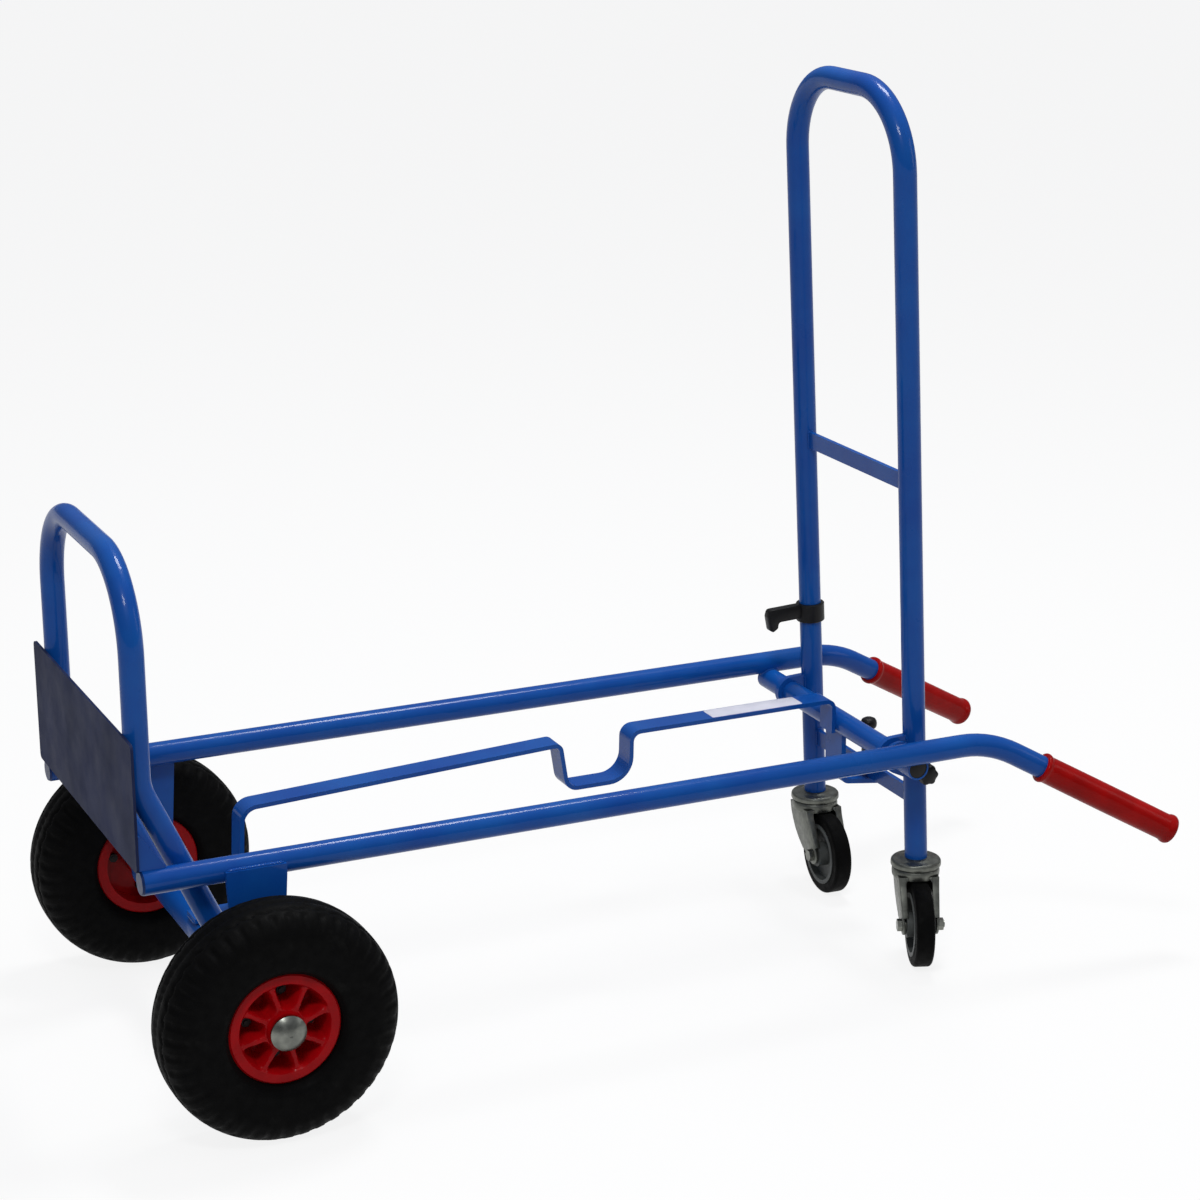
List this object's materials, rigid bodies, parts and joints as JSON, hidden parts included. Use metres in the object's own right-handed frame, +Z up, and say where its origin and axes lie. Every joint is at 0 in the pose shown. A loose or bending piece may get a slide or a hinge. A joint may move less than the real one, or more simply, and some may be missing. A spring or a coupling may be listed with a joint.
{
  "type": "hand truck",
  "caption": "Tubular steel hand truck: pneumatic wheels, a toe plate and hoop, splayed barrow grips, and a push hoop on swivel castors that folds forward over the deck.",
  "frame": {"origin": "middle of the footprint, on the floor", "axes": "+X runs from the toe plate to the grips, +Y to the right side as seen by someone who holds the grips and looks towards the toe plate, +Z up"},
  "size_m": [1.2645, 0.6036, 1.0404],
  "materials": {
    "blue_powder_coat": "satin blue powder coat on steel tube",
    "slate_powder_coat": "dark slate blue powder coat on steel sheet",
    "red_rubber": "moulded red rubber",
    "label_film": "plain white label film",
    "black_plastic": "moulded black nylon",
    "bright_zinc": "bright zinc-plated steel",
    "zinc_sheet": "zinc-plated pressed steel sheet",
    "tyre_rubber": "black rubber",
    "red_rim": "gloss red enamel on the rim",
    "grey_plastic": "grey moulded polyamide"
  },
  "bodies": {
    "frame": {"left_rail": "blue_powder_coat", "right_rail": "blue_powder_coat", "toe_plate": "slate_powder_coat", "toe_gussets": "blue_powder_coat", "toe_hoop": "blue_powder_coat", "axle_brackets": "blue_powder_coat", "axle_beam": "blue_powder_coat", "axle": "bright_zinc", "centre_strap": "blue_powder_coat", "cross_tube": "blue_powder_coat", "stop_bracket": "blue_powder_coat", "lock_lug": "blue_powder_coat", "left_grip": "red_rubber", "right_grip": "red_rubber", "blank_label": "label_film", "rail_end_plugs": "black_plastic", "wheel_spacers": "bright_zinc", "hub_caps": "bright_zinc"},
    "hoop": {"push_hoop": "blue_powder_coat", "upper_crossbar": "blue_powder_coat", "lower_crossbar": "blue_powder_coat", "hinge_eyes": "blue_powder_coat", "hook_clip": "black_plastic", "hook_screw": "bright_zinc", "left_castor_cap": "zinc_sheet", "right_castor_cap": "zinc_sheet", "plunger_housing": "bright_zinc", "plunger_spring": "bright_zinc"},
    "plunger": {"plunger_pin": "bright_zinc", "plunger_knob": "black_plastic"},
    "clamp": {"lock_knob": "black_plastic", "lock_stud": "bright_zinc"},
    "left_wheel": {"left_tyre": "tyre_rubber", "left_inner_tube": "tyre_rubber", "left_valve": "tyre_rubber", "left_rim_outer": "red_rim", "left_rim_inner": "red_rim", "left_rim_bolts": "bright_zinc", "left_wheel_bush": "bright_zinc"},
    "left_castor": {"left_castor_fork": "zinc_sheet", "left_castor_balls": "bright_zinc", "left_castor_bolt": "bright_zinc", "left_castor_nut": "bright_zinc"},
    "left_castor_wheel": {"left_castor_tyre": "tyre_rubber", "left_castor_core": "grey_plastic", "left_castor_bush": "bright_zinc"},
    "right_wheel": {"right_tyre": "tyre_rubber", "right_inner_tube": "tyre_rubber", "right_valve": "tyre_rubber", "right_rim_outer": "red_rim", "right_rim_inner": "red_rim", "right_rim_bolts": "bright_zinc", "right_wheel_bush": "bright_zinc"},
    "right_castor": {"right_castor_fork": "zinc_sheet", "right_castor_balls": "bright_zinc", "right_castor_bolt": "bright_zinc", "right_castor_nut": "bright_zinc"},
    "right_castor_wheel": {"right_castor_tyre": "tyre_rubber", "right_castor_core": "grey_plastic", "right_castor_bush": "bright_zinc"}
  },
  "joints": [
    {"name": "left_wheel_spin", "type": "hinge", "parent": "frame", "child": "left_wheel", "pos_m": [-0.50209, -0.2516, 0.13], "axis": [0, 1, 0], "continuous": true},
    {"name": "right_wheel_spin", "type": "hinge", "parent": "frame", "child": "right_wheel", "pos_m": [-0.50209, 0.2516, 0.13], "axis": [0, 1, 0], "continuous": true},
    {"name": "hoop_fold", "type": "hinge", "parent": "frame", "child": "hoop", "pos_m": [0.30291, 0, 0.2585], "axis": [0, -1, 0], "range_deg": [0, 50]},
    {"name": "clamp_turn", "type": "hinge", "parent": "frame", "child": "clamp", "pos_m": [0.335, -0.158, 0.236], "axis": [0, 1, 0], "range_deg": [0, 720]},
    {"name": "plunger_slide", "type": "slide", "parent": "hoop", "child": "plunger", "axis": [-0.0471, 0, 0.9989], "range_m": [-0.009, 0]},
    {"name": "left_castor_swivel", "type": "hinge", "parent": "hoop", "child": "left_castor", "pos_m": [0.34038, -0.1255, 0.1], "axis": [0, 0, 1], "continuous": true},
    {"name": "left_castor_roll", "type": "hinge", "parent": "left_castor", "child": "left_castor_wheel", "pos_m": [0.32676, -0.16098, 0.05], "axis": [0.9336, -0.3584, 0], "continuous": true},
    {"name": "right_castor_swivel", "type": "hinge", "parent": "hoop", "child": "right_castor", "pos_m": [0.34038, 0.1255, 0.1], "axis": [0, 0, 1], "continuous": true},
    {"name": "right_castor_roll", "type": "hinge", "parent": "right_castor", "child": "right_castor_wheel", "pos_m": [0.33839, 0.08755, 0.05], "axis": [0.9986, -0.0523, 0], "continuous": true}
  ]
}
